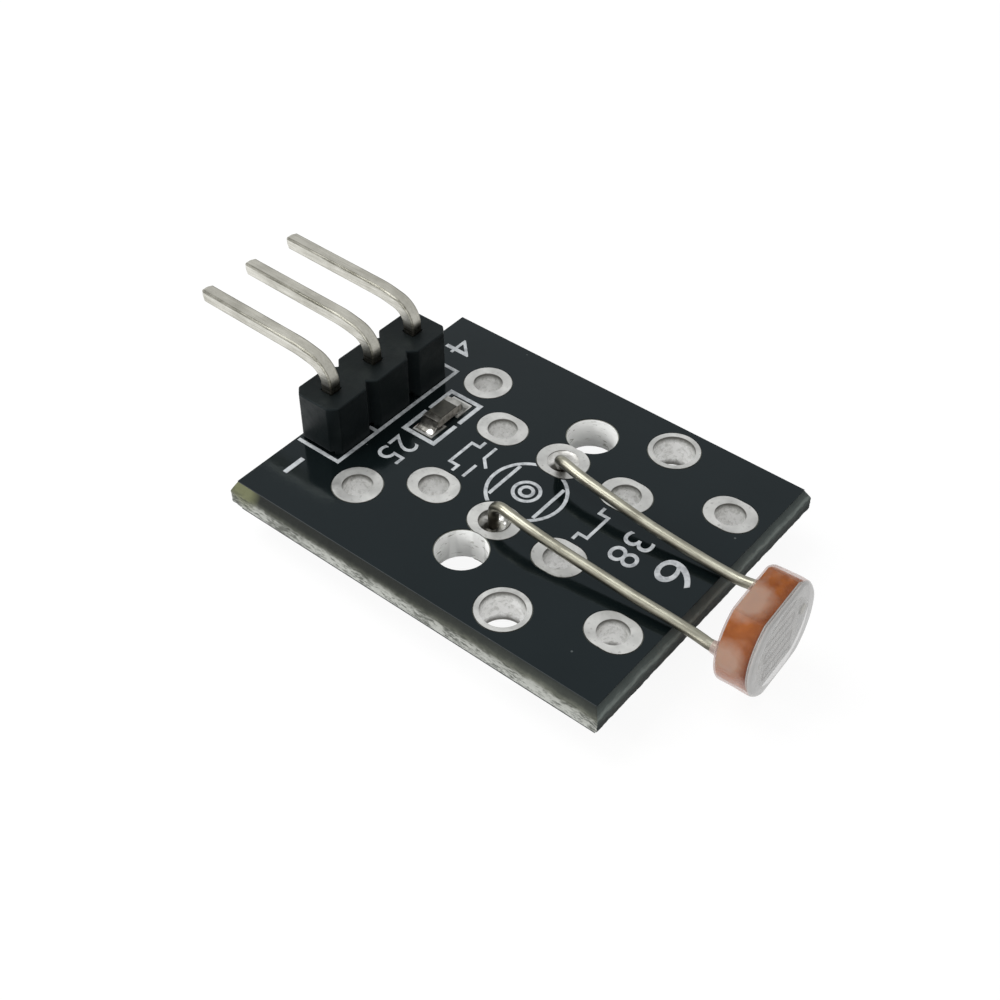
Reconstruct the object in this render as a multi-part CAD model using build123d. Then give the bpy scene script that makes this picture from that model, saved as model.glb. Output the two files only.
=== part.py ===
from build123d import *
from math import radians, sqrt, tan
import os

os.makedirs("parts", exist_ok=True)

# Light sensor module. Origin on the underside of the board, midway between the two fixing holes.
# +X runs from the header to the photoresistor, +Y across the board, +Z up. All sizes in millimetres.

# Board: where things stand along its length, from the header end to the sensor end
header_inset = 1.38
header_to_round_holes = 2.85
header_to_resistor = 2.80
resistor_to_leads = 5.72
leads_to_fixing = 3.24
fixing_to_end_holes = 3.90
end_hole_inset = 1.82

# Board: layers and edges
board_thickness = 1.60
mask_thickness = 0.05
pad_height = 0.065
plating_wall = 0.05
mask_gap = 0.04
score_depth = 0.45
score_angle = 29.0
fixing_margin = 1.68

# Holes: half spacings across the board, finished radii and pad sizes
header_pitch = 2.54
header_hole_radius = 0.50
header_pad_diameter = 1.70
lead_half_spacing = 2.27
lead_hole_radius = 0.68
switch_half_length = 3.24
switch_half_width = 2.25
switch_hole_radius = 0.65
round_half_spacing = 4.23
round_hole_radius = 0.65
round_pad_diameter = 2.12
end_half_spacing = 4.02
end_hole_radius = 0.65
fixing_half_spacing = 5.75
fixing_hole_radius = 0.91
fixing_ring_diameter = 2.24
lead_to_locating = 2.05
locating_hole_radius = 1.10
slot_pad_length = 2.28
slot_pad_width = 1.86
lead_pad_width = 1.96

# Copper tracks under the mask
track_height = 0.035
track_width = 0.40
track_side_step = 0.90

# Header: moulding, pins and what sticks out under the board
housing_width = 2.30
housing_length = 7.30
housing_height = 2.54
housing_corner = 0.36
housing_relief_width = 1.80
housing_relief_depth = 0.20
pin_width = 0.59
pin_bend_height = 3.66
pin_slope_length = 1.55
pin_slope_rise = 0.30
pin_run_length = 5.50
pin_run_rise = 0.14
pin_bend_radius = 0.95
pin_slope_radius = 4.0
pin_taper_length = 0.26
pin_taper_angle = 26.0
tip_reach = 1.20
header_cone_height = 0.75
header_cone_top = 0.50

# Chip resistor
resistor_y = 1.20
chip_length = 1.60
chip_width = 0.80
chip_height = 0.45
cap_length = 0.30
cap_wall = 0.03
film_width = 0.56
film_height = 0.01
overcoat_width = 0.74
overcoat_height = 0.045
land_length = 1.00
land_width = 1.04
land_gap = 0.72
solder_gap = 0.03
chip_fillet_height = 0.36
chip_fillet_width = 0.92

# Photoresistor: where it is held past the end of the board
sensor_overhang = 1.80
sensor_side_shift = -0.65
sensor_height = 0.28
sensor_yaw = 1.6
sensor_pitch = 1.2
sensor_roll = 3.9

# Photoresistor: its body
coat_diameter = 4.80
coat_flats = 4.10
coat_thickness = 1.60
coat_side = 0.10
coat_rear = 0.10
coat_edge_radius = 0.16
collar_radius = 0.42
collar_height = 0.30
ceramic_thickness = 1.26
light_film_thickness = 0.04
electrode_thickness = 0.02
electrode_inset = 0.10
winding_width = 0.17
winding_pitch = 0.50
winding_to_lead = 0.68
winding_strokes = 7
winding_turn_radius = 0.20

# Leads. Each bow point is a share of the free run, with its offset sideways and upwards.
lead_diameter = 0.46
lead_to_rim = 0.70
lead_straight_end = 0.50
lead_head = 0.06
lead_cone_height = 0.70
lead_cone_top = 0.36
lead_a_knee_depth = 0.55
lead_a_forward = 0.45
lead_a_lean = 0.92
lead_a_rise = 1.06
lead_a_bow = [
    (0.13, -0.25, 0.09),
    (0.33, -0.33, 0.04),
    (0.51, -0.32, -0.07),
    (0.66, -0.26, -0.12),
    (0.8, -0.19, -0.15),
    (0.93, -0.11, -0.13),
]
lead_a_radii = [0.9, 0.6, 6.0, 12.0, 12.0, 12.0, 12.0, 4.0, 1.5]
lead_a_fill_depth = 0.15
lead_b_rise = 1.14
lead_b_lean = 0.08
lead_b_bow = [
    (0.17, -0.24, 0.13),
    (0.36, -0.19, 0.04),
    (0.52, -0.15, 0.04),
    (0.68, -0.12, 0.04),
    (0.81, -0.08, 0.08),
    (0.94, -0.04, 0.09),
]
lead_b_radii = [0.62, 8.0, 12.0, 12.0, 12.0, 12.0, 4.0, 1.5]
lead_b_fill_depth = 0.50

# Printed outlines
print_height = 0.015
line_width = 0.17
thin_line_width = 0.14
header_line_gap = 1.27
header_line_clearance = 0.19
header_line_shift = 0.11
resistor_line_width = 0.20
resistor_line_length = 3.10
resistor_line_span = 1.64
resistor_line_gap = 0.22
symbol_line_width = 0.155
symbol_radius = 1.68
symbol_flat = 1.14
symbol_back = 0.04
symbol_shift = -0.15
symbol_rings = [0.57, 0.28]
switch_mark_shift = -0.10
switch_mark_reach = 3.13
switch_mark_length = 2.20
switch_mark_step = 0.44
switch_mark_foot = 0.38
contact_gap = 0.58
contact_kink = 0.30
contact_break = 0.10
minus_length = 1.08
minus_gap = 0.77
minus_width = 0.22

# Levels
laminate_bottom = mask_thickness
laminate_top = board_thickness - mask_thickness
pad_top = laminate_top + pad_height
pad_bottom = laminate_bottom - pad_height
chip_bottom = pad_top + solder_gap
core_top = chip_bottom + chip_height - cap_wall

# Places along and across the board
sensor_end = fixing_to_end_holes + end_hole_inset
lead_x = -leads_to_fixing
resistor_x = lead_x - resistor_to_leads
header_x = resistor_x - header_to_resistor
header_end = header_x - header_inset
board_length = sensor_end - header_end
board_width = 2 * (fixing_half_spacing + fixing_margin)
board_mid_x = (sensor_end + header_end) / 2
score_reach = score_depth * tan(radians(score_angle))
face_length = board_length - 2 * score_reach
face_width = board_width - 2 * score_reach
land_reach = (land_gap + land_length) / 2

header_holes = [(header_x, row * header_pitch) for row in (-1, 0, 1)]
lead_holes = [(lead_x, side * lead_half_spacing) for side in (1, -1)]
round_holes = [(header_x + header_to_round_holes, side * round_half_spacing) for side in (1, -1)]
end_holes = [(fixing_to_end_holes, side * end_half_spacing) for side in (1, -1)]
fixing_holes = [(0, side * fixing_half_spacing) for side in (1, -1)]
locating_holes = [(lead_x, side * (lead_half_spacing + lead_to_locating)) for side in (1, -1)]
lands = [(resistor_x, resistor_y + side * land_reach) for side in (1, -1)]
switch_holes = [
    (lead_x + end * switch_half_length, side * switch_half_width)
    for end in (-1, 1)
    for side in (1, -1)
]

# Each family of plated holes: its places, finished radius, pad length and pad width
plated_families = {
    "header_plated_holes": (header_holes, header_hole_radius, header_pad_diameter, header_pad_diameter),
    "lead_plated_holes": (lead_holes, lead_hole_radius, slot_pad_length, lead_pad_width),
    "switch_plated_holes": (switch_holes, switch_hole_radius, slot_pad_length, slot_pad_width),
    "round_plated_holes": (round_holes, round_hole_radius, round_pad_diameter, round_pad_diameter),
    "end_plated_holes": (end_holes, end_hole_radius, slot_pad_length, slot_pad_width),
    "fixing_hole_rings": (fixing_holes, fixing_hole_radius, fixing_ring_diameter, fixing_ring_diameter),
}


def slab(outline, bottom, top):
    """An outline made solid between two levels."""
    return Pos(0, 0, bottom) * extrude(outline, amount=top - bottom)


def at_each(places, shape):
    """Copies of one shape at a list of places on the board."""
    return [Pos(x, y, 0) * shape for x, y in places]


def pad_outline(length, width, gap=0.0):
    """Outline of a pad: a circle, or a slot along the board where it is longer than wide."""
    if length - width < 0.01:
        return Circle(width / 2 + gap)
    return SlotOverall(length + 2 * gap, width + 2 * gap)


def drills(places, radius):
    """Round drills at a list of places, long enough to pass through the board."""
    return at_each(places, slab(Circle(radius), -1, board_thickness + 1))


def make_laminate():
    """Glass fibre board: scored from both faces and snapped, so its edges stand out at mid thickness."""
    thickness = laminate_top - laminate_bottom
    web_top = thickness / 2 - score_depth
    outline = Rectangle(board_length, board_width)
    upper = Pos(0, 0, web_top) * extrude(outline, amount=score_depth, taper=score_angle)
    board = slab(outline, -web_top, web_top) + upper + Rot(180, 0, 0) * upper
    board = Pos(board_mid_x, 0, laminate_bottom + thickness / 2) * board
    cuts = drills(locating_holes, locating_hole_radius)
    for places, radius, _, _ in plated_families.values():
        cuts += drills(places, radius + plating_wall)
    return board - cuts


def make_plated_holes(places, radius, length, width):
    """Pads on both faces joined by the plated wall of the hole, one solid for each hole."""
    outline = pad_outline(length, width)
    eyelet = slab(outline, laminate_top, pad_top) + slab(outline, pad_bottom, laminate_bottom)
    eyelet += slab(Circle(radius + plating_wall), pad_bottom, pad_top)
    eyelet -= slab(Circle(radius), pad_bottom - 1, pad_top + 1)
    bare_holes = drills(locating_holes, locating_hole_radius)
    return [Pos(x, y, 0) * eyelet - bare_holes for x, y in places]


def make_tracks():
    """Copper tracks: header to leads on the underside, header to resistor on the top."""
    pad_reach = header_pad_diameter
    below = []
    for side in (-1, 1):
        route = Polyline(
            (header_x, side * header_pitch),
            (header_x + pad_reach, side * header_pitch),
            (resistor_x, side * track_side_step),
            (lead_x - lead_half_spacing, side * track_side_step),
            (lead_x, side * lead_half_spacing),
        )
        below.append(trace(route, line_width=track_width))
    upper_land, lower_land = lands
    above = [
        trace(Polyline(header_holes[2], (header_x + pad_reach, header_pitch), upper_land), track_width),
        trace(Polyline(header_holes[1], (header_x + pad_reach, 0), lower_land), track_width),
    ]
    pads = at_each(header_holes, pad_outline(header_pad_diameter, header_pad_diameter))
    pads += at_each(lead_holes, pad_outline(slot_pad_length, lead_pad_width))
    pads_above = pads + at_each(lands, Rectangle(land_width, land_length))
    tracks = [slab(track - pads, laminate_bottom - track_height, laminate_bottom) for track in below]
    tracks += [slab(track - pads_above, laminate_top, laminate_top + track_height) for track in above]
    return tracks


def make_mask(bottom, extra_openings, tracks):
    """Solder mask over the flat of one face, open round every pad and hole, and over the tracks."""
    openings = at_each(locating_holes, Circle(locating_hole_radius + mask_gap)) + extra_openings
    for places, _, length, width in plated_families.values():
        openings += at_each(places, pad_outline(length, width, mask_gap))
    outline = Pos(board_mid_x, 0) * Rectangle(face_length, face_width) - openings
    return slab(outline, bottom, bottom + mask_thickness) - tracks


def make_housing():
    """Moulded strip that holds the pins: three eight-sided cells with a relief over the pads."""
    outline = chamfer(Rectangle(housing_width, housing_length).vertices(), housing_corner)
    notch = Rot(0, 0, 45) * Rectangle(housing_corner * sqrt(2), housing_corner * sqrt(2))
    for side in (-1, 1):
        for row in (-0.5, 0.5):
            outline -= Pos(side * housing_width / 2, row * header_pitch) * notch
    body = slab(outline, 0, housing_height)
    body -= slab(Rectangle(housing_relief_width, housing_length), 0, housing_relief_depth)
    for row in (-1, 0, 1):
        body -= Pos(0, row * header_pitch, 0) * slab(Rectangle(pin_width, pin_width), 0, housing_height)
    return Pos(header_x, 0, board_thickness) * body


def make_pin(row):
    """One square pin: straight up through the board and housing, then bent over away from the board."""
    y = row * header_pitch
    foot = Vector(header_x, y, pin_taper_length - tip_reach)
    bend = Vector(header_x, y, board_thickness + pin_bend_height)
    slope = bend + Vector(-pin_slope_length, 0, pin_slope_rise)
    tip = slope + Vector(-pin_run_length, 0, pin_run_rise)
    route = FilletPolyline(foot, bend, slope, tip, radius=[pin_bend_radius, pin_slope_radius])
    section = Rectangle(pin_width, pin_width)
    bar = sweep(Plane(origin=foot, x_dir=(0, 1, 0), z_dir=(0, 0, 1)) * section, path=route)
    point = extrude(section, amount=pin_taper_length, taper=pin_taper_angle)
    lower_point = Plane(origin=foot, x_dir=(0, 1, 0), z_dir=(0, 0, -1)) * point
    outer_point = Plane(origin=tip, x_dir=(0, 1, 0), z_dir=tip - slope) * point
    return bar + lower_point + outer_point


def solder_cone(base_radius, top_radius, height, fill_radius, fill_depth):
    """Solder of one hole: a hollow-sided cone on the lower pad, and what was drawn up into the hole."""
    low = pad_bottom - height
    waist = ((base_radius + 2 * top_radius) / 3, pad_bottom - height / 3)
    cone_side = ThreePointArc((base_radius, pad_bottom), waist, (top_radius, low))
    rest = Polyline(
        (top_radius, low),
        (0, low),
        (0, pad_top - fill_depth),
        (fill_radius, pad_top - fill_depth),
        (fill_radius, pad_bottom),
        (base_radius, pad_bottom),
    )
    return revolve(Plane.XZ * make_face(cone_side + rest), axis=Axis.Z)


def chip_block(width, length, bottom, top, shift=0.0):
    """A box on the resistor's place, moved along the resistor by a shift."""
    return Pos(resistor_x, resistor_y + shift, 0) * slab(Rectangle(width, length), bottom, top)


def make_chip_fillet(side):
    """Solder under and beside one end cap of the resistor, hollow towards the land's outer edge."""
    end = chip_length / 2
    inner = end - cap_length
    outer = land_reach + land_length / 2 - mask_gap
    crown = chip_bottom + chip_fillet_height
    belly = ((2 * end + outer) / 3, (2 * pad_top + crown) / 3)
    slope = ThreePointArc((outer, pad_top), belly, (end, crown))
    rest = Polyline(
        (end, crown),
        (end, chip_bottom),
        (inner, chip_bottom),
        (inner, pad_top),
        (outer, pad_top),
    )
    fillet_solid = extrude(Plane.YZ * make_face(slope + rest), amount=chip_fillet_width / 2, both=True)
    return Pos(resistor_x, resistor_y, 0) * Rot(0, 0, 0 if side > 0 else 180) * fillet_solid


# The photoresistor is built on its own axis, from its rear face, and then put in its place
sensor_place = (
    Pos(sensor_end + sensor_overhang, sensor_side_shift, board_thickness + sensor_height)
    * Rot(0, -sensor_pitch, sensor_yaw)
    * Plane(origin=(0, 0, 0), x_dir=(0, 1, 0), z_dir=(1, 0, 0)).location
    * Rot(0, 0, sensor_roll)
)
ceramic_top = coat_rear + ceramic_thickness
light_film_top = ceramic_top + light_film_thickness
electrode_top = light_film_top + electrode_thickness
lead_top = electrode_top + lead_head
ceramic_diameter = coat_diameter - 2 * coat_side
ceramic_flats = coat_flats - 2 * coat_side
lead_spacing = coat_diameter - 2 * lead_to_rim
winding_half_length = lead_spacing / 2 - winding_to_lead


def disc(diameter, flats, bottom, top):
    """A round disc with two flats, above and below."""
    return slab(Circle(diameter / 2) & Rectangle(diameter, flats), bottom, top)


def lead_bores():
    """What the two leads fill inside the photoresistor, on its own axis."""
    bore = slab(Circle(lead_diameter / 2), -coat_thickness, lead_top)
    return at_each([(lead_spacing / 2, 0), (-lead_spacing / 2, 0)], bore)


def make_electrodes():
    """Two metal combs that mesh without touching, parted by a gap that winds from flat to flat."""
    top_level = (winding_strokes - 1) / 2 * winding_pitch
    points = [(-winding_half_length, ceramic_flats)]
    for stroke in range(winding_strokes):
        level = top_level - stroke * winding_pitch
        start = winding_half_length * (-1 if stroke % 2 == 0 else 1)
        points += [(start, level), (-start, level)]
    points.append((points[-1][0], -ceramic_flats))
    winding = trace(FilletPolyline(*points, radius=winding_turn_radius), line_width=winding_width)
    field = Circle(ceramic_diameter / 2 - electrode_inset)
    field &= Rectangle(ceramic_diameter, ceramic_flats - 2 * electrode_inset)
    combs = slab(field - winding, light_film_top, electrode_top) - lead_bores()
    return combs.solids().sort_by(Axis.X, reverse=True)


def make_coat(inner_pieces):
    """Clear resin round the whole disc, drawn out into a small collar round each lead."""
    shell = disc(coat_diameter, coat_flats, 0, coat_thickness)
    rims = shell.faces().filter_by(Axis.Z).edges()
    shell = fillet(rims, coat_edge_radius)
    collar = Cone(lead_diameter / 2, collar_radius, collar_height, align=(Align.CENTER, Align.CENTER, Align.MAX))
    shell += at_each([(lead_spacing / 2, 0), (-lead_spacing / 2, 0)], collar)
    return shell - lead_bores() - inner_pieces


def lead_route(foot, knees, side, bow):
    """Points of one lead: from its foot over its knees, along its bowed free run, into the disc."""
    approach = (sensor_place * Pos(side * lead_spacing / 2, 0, -lead_straight_end)).position
    end = (sensor_place * Pos(side * lead_spacing / 2, 0, lead_top)).position
    run = approach - knees[-1]
    bow_points = [knees[-1] + run * share + Vector(0, aside, up) for share, aside, up in bow]
    return [foot, *knees, *bow_points, approach, end]


def make_lead(points, radii):
    """A round wire along straight runs joined by tangent bends."""
    route = FilletPolyline(*points, radius=radii)
    section = Plane(origin=points[0], z_dir=(0, 0, 1)) * Circle(lead_diameter / 2)
    return sweep(section, path=route)


def lead_a_points():
    """Lead on the +Y side: it leans over towards -Y from inside its hole."""
    foot = Vector(lead_x, lead_half_spacing, -tip_reach)
    knee = Vector(lead_x, lead_half_spacing, board_thickness - lead_a_knee_depth)
    crest = Vector(lead_x + lead_a_forward, lead_half_spacing - lead_a_lean, board_thickness + lead_a_rise)
    return lead_route(foot, [knee, crest], 1, lead_a_bow)


def lead_b_points():
    """Lead on the -Y side: it rises upright and turns over in one bend."""
    foot = Vector(lead_x, -lead_half_spacing, -tip_reach)
    crest = Vector(lead_x, -lead_half_spacing - lead_b_lean, board_thickness + lead_b_rise)
    return lead_route(foot, [crest], -1, lead_b_bow)


def line(points, width):
    """A printed line through points."""
    return trace(Polyline(*points), line_width=width)


def ring(radius, width):
    """A printed circle."""
    return Circle(radius + width / 2) - Circle(radius - width / 2)


def header_print():
    """Three-sided frame round the header, the mark of its first pin and a minus sign."""
    line_x = header_x + header_line_gap
    half_length = housing_length / 2 + header_line_clearance
    low = header_line_shift - half_length
    high = header_line_shift + half_length
    back_x = header_x - header_line_gap + 3 * line_width / 2
    frame = line([(back_x, low), (line_x, low), (line_x, high), (back_x, high)], line_width)
    mark = line([(line_x - 3 * line_width, -header_pitch / 2), (line_x, -header_pitch / 2)], line_width)
    minus = line([(header_x, low - minus_gap), (header_x, low - minus_gap - minus_length)], minus_width)
    openings = at_each(header_holes, pad_outline(header_pad_diameter, header_pad_diameter, mask_gap))
    return [frame + mark - openings, minus]


def resistor_print():
    """Two brackets that face each other round the resistor."""
    half_span = resistor_line_span / 2
    open_y = resistor_line_gap / 2
    end_y = resistor_line_length / 2
    bracket = line(
        [(-half_span, open_y), (-half_span, end_y), (half_span, end_y), (half_span, open_y)],
        resistor_line_width,
    )
    centre = Pos(resistor_x, resistor_y, 0)
    return [centre * bracket, centre * Rot(0, 0, 180) * bracket]


def sensor_print():
    """Symbol between the lead holes: a circle with two chords and two rings inside it."""
    half_line = symbol_line_width / 2
    symbol = [ring(radius, symbol_line_width) for radius in [symbol_radius, *symbol_rings]]
    chord_end = sqrt((symbol_radius - half_line) ** 2 - (symbol_flat + half_line) ** 2)
    for x in (-symbol_flat, symbol_flat):
        symbol.append(line([(x, -chord_end), (x, chord_end)], symbol_line_width))
    openings = at_each(lead_holes, pad_outline(slot_pad_length, lead_pad_width, 2 * mask_gap))
    return [Pos(lead_x - symbol_back, symbol_shift, 0) * outline - openings for outline in symbol]


def switch_print():
    """Stepped marks of the switch pattern and its contact sign."""
    step = switch_mark_step
    tall = switch_mark_length / 2
    short = tall - switch_mark_foot
    marks = []
    for end in (-1, 1):
        inner = end * switch_mark_reach
        outer = inner + end * step
        points = [(inner, tall), (inner, short), (outer, short), (outer, -short), (inner, -short), (inner, -tall)]
        marks.append(line(points, thin_line_width))
    contact_x = -switch_mark_reach + contact_gap
    blade = [(contact_x, tall), (contact_x, contact_kink), (contact_x + step, contact_kink - step)]
    marks.append(line(blade, thin_line_width))
    marks.append(line([(contact_x, contact_kink - step - contact_break), (contact_x, -tall)], thin_line_width))
    return [Pos(lead_x + switch_mark_shift, 0, 0) * mark for mark in marks]


def make_print():
    """Every printed line as a thin raised solid on the mask."""
    outlines = header_print() + resistor_print() + sensor_print() + switch_print()
    return [slab(outline, board_thickness, board_thickness + print_height) for outline in outlines]


def all_solids(shapes):
    """The solids of one shape, or of a list of shapes that may hold further lists."""
    if isinstance(shapes, (list, tuple)):
        return [solid for shape in shapes for solid in all_solids(shape)]
    return list(shapes.solids())


def save(name, shapes):
    """Write one node: a single solid, or a group of separate ones."""
    solids = all_solids(shapes)
    node = solids[0] if len(solids) == 1 else Compound(children=solids)
    node.label = name
    export_step(node, f"parts/{name}.step")


tracks = make_tracks()
land_openings = at_each(lands, Rectangle(land_width + 2 * mask_gap, land_length + 2 * mask_gap))
pins = [make_pin(row) for row in (-1, 0, 1)]
lead_a = make_lead(lead_a_points(), lead_a_radii)
lead_b = make_lead(lead_b_points(), lead_b_radii)

save("circuit_board", make_laminate())
save("copper_tracks", tracks)
save("solder_mask_top", make_mask(laminate_top, land_openings, tracks))
save("solder_mask_bottom", make_mask(0, [], tracks))
for name, family in plated_families.items():
    save(name, make_plated_holes(*family))
save("printed_outlines", make_print())

save("header_housing", make_housing())
for number, pin in enumerate(pins, start=1):
    save(f"header_pin_{number}", pin)
header_joint = solder_cone(
    header_pad_diameter / 2 - mask_gap, header_cone_top, header_cone_height, header_hole_radius, mask_thickness
)
header_joints = at_each(header_holes, header_joint)
save("header_solder_joints", [joint - pin for joint, pin in zip(header_joints, pins)])

save("resistor_lands", at_each(lands, slab(Rectangle(land_width, land_length), laminate_top, pad_top)))
core_length = chip_length - 2 * cap_wall
window = chip_length - 2 * cap_length
core = chip_block(chip_width, core_length, chip_bottom + cap_wall, core_top)
film = chip_block(film_width, window, core_top, core_top + film_height)
overcoat = chip_block(overcoat_width, window, core_top, core_top + overcoat_height)
save("resistor_body", core)
save("resistor_film", film)
save("resistor_overcoat", overcoat - film)
for name, side in (("a", 1), ("b", -1)):
    cap_shift = side * (chip_length - cap_length) / 2
    cap = chip_block(chip_width, cap_length, chip_bottom, chip_bottom + chip_height, cap_shift)
    save(f"resistor_cap_{name}", cap - core)
    save(f"resistor_solder_{name}", make_chip_fillet(side))

ceramic = disc(ceramic_diameter, ceramic_flats, coat_rear, ceramic_top) - lead_bores()
light_film = disc(ceramic_diameter, ceramic_flats, ceramic_top, light_film_top) - lead_bores()
electrodes = make_electrodes()
coat = make_coat([ceramic, light_film, *electrodes])
save("sensor_ceramic_disc", sensor_place * ceramic)
save("sensor_light_film", sensor_place * light_film)
for name, electrode in zip("ab", electrodes):
    save(f"sensor_electrode_{name}", sensor_place * electrode)
save("sensor_clear_coat", sensor_place * coat)

lead_joints = {"a": (lead_a, 1, lead_a_fill_depth), "b": (lead_b, -1, lead_b_fill_depth)}
for name, (lead, side, fill_depth) in lead_joints.items():
    cone = solder_cone(lead_pad_width / 2 - mask_gap, lead_cone_top, lead_cone_height, lead_hole_radius, fill_depth)
    save(f"lead_{name}", lead)
    save(f"lead_solder_{name}", Pos(lead_x, side * lead_half_spacing, 0) * cone - lead)
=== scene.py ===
from math import cos, exp, pi, radians, sin, tan

import bmesh
import bpy
from mathutils import Matrix, Vector, noise


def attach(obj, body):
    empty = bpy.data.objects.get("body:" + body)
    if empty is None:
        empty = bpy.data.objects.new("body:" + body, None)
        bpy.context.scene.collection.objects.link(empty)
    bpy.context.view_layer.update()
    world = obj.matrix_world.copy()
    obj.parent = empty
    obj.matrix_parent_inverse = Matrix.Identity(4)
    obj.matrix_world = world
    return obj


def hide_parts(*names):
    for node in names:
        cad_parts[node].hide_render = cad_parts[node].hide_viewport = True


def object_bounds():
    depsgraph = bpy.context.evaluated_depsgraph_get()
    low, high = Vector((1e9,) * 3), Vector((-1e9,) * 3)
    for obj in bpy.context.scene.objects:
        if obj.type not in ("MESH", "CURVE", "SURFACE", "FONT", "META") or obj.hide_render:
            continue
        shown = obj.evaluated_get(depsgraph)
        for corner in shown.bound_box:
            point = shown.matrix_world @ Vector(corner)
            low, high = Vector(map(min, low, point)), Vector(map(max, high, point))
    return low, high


# Looks of a light sensor module. Lengths are written in millimetres and turned into metres by MM.
MM = 0.001

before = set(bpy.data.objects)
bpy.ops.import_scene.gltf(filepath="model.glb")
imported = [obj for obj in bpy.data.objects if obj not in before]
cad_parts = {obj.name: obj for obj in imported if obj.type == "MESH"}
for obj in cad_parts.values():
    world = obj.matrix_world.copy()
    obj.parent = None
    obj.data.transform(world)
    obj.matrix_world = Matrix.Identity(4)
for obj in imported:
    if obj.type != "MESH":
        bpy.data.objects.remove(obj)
cad_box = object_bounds()

# The board and its levels, as in the part's source
BOARD_ENDS = (-13.14, 5.72)
BOARD_HALF_WIDTH = 7.43
MASK = 0.05
BOARD_TOP = 1.60
SCORE_DEPTH = 0.45
SCORE_REACH = SCORE_DEPTH * tan(radians(29.0))
LEAD_X = -3.24
LEAD_HALF_SPACING = 2.27
LEAD_RADIUS = 0.23
LEAD_HOLE_RADIUS = 0.68
PAD_TOP = 1.615
PRINT_HEIGHT = 0.015

# The photoresistor's own axes: where its rear face is and how it is turned
SENSOR_PLACE = (
    Matrix.Translation((7.52, -0.65, 1.88))
    @ Matrix.Rotation(radians(-1.2), 4, "Y")
    @ Matrix.Rotation(radians(1.6), 4, "Z")
    @ Matrix(((0, 0, 1, 0), (1, 0, 0, 0), (0, 1, 0, 0), (0, 0, 0, 1)))
    @ Matrix.Rotation(radians(3.9), 4, "Z")
)
SENSOR_RADIUS = 2.40
SENSOR_HALF_FLATS = 2.05
SENSOR_THICKNESS = 1.60
SENSOR_LEAD_OFFSET = 1.70

# The centre of the coat's front, how far its grey rim is measured from there, and where it starts along X
SENSOR_FRONT_CENTRE = (9.12, -0.65, 1.88)
SENSOR_RIM_REACH = 2.6
SENSOR_RIM_SPAN = (8.75, 8.95)

# Where the body turns rusty along X, and its cream patches: centre and reach
SENSOR_RUST_SPAN = (8.3, 8.9)
SENSOR_PATCHES = (((7.80, -1.30, 3.80), 1.15), ((8.00, -2.92, 2.15), 1.0))

# Strength of the white surround where it lights and where it is mirrored
SKY_LIT = 0.55
SKY_MIRRORED = 0.72

# Share of the floor that is white to the camera and in what is mirrored; the rest shows the object's shadow
FLOOR_WHITE = 0.86

# Strength of that white, which reaches full white with the lit rest, and the floor's colour where it is lit
FLOOR_GLOW = 1.06
FLOOR_TONE = (0.86, 0.86, 0.86, 1.0)

# Camera, solved from the photograph
CAMERA_PLACE = (23.04, -34.52, 43.25)
CAMERA_TARGET = (-3.816, -1.211, 1.60)
CAMERA_ROLL = 0.305
CAMERA_LENS = 52.84


# Shader helpers

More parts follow.
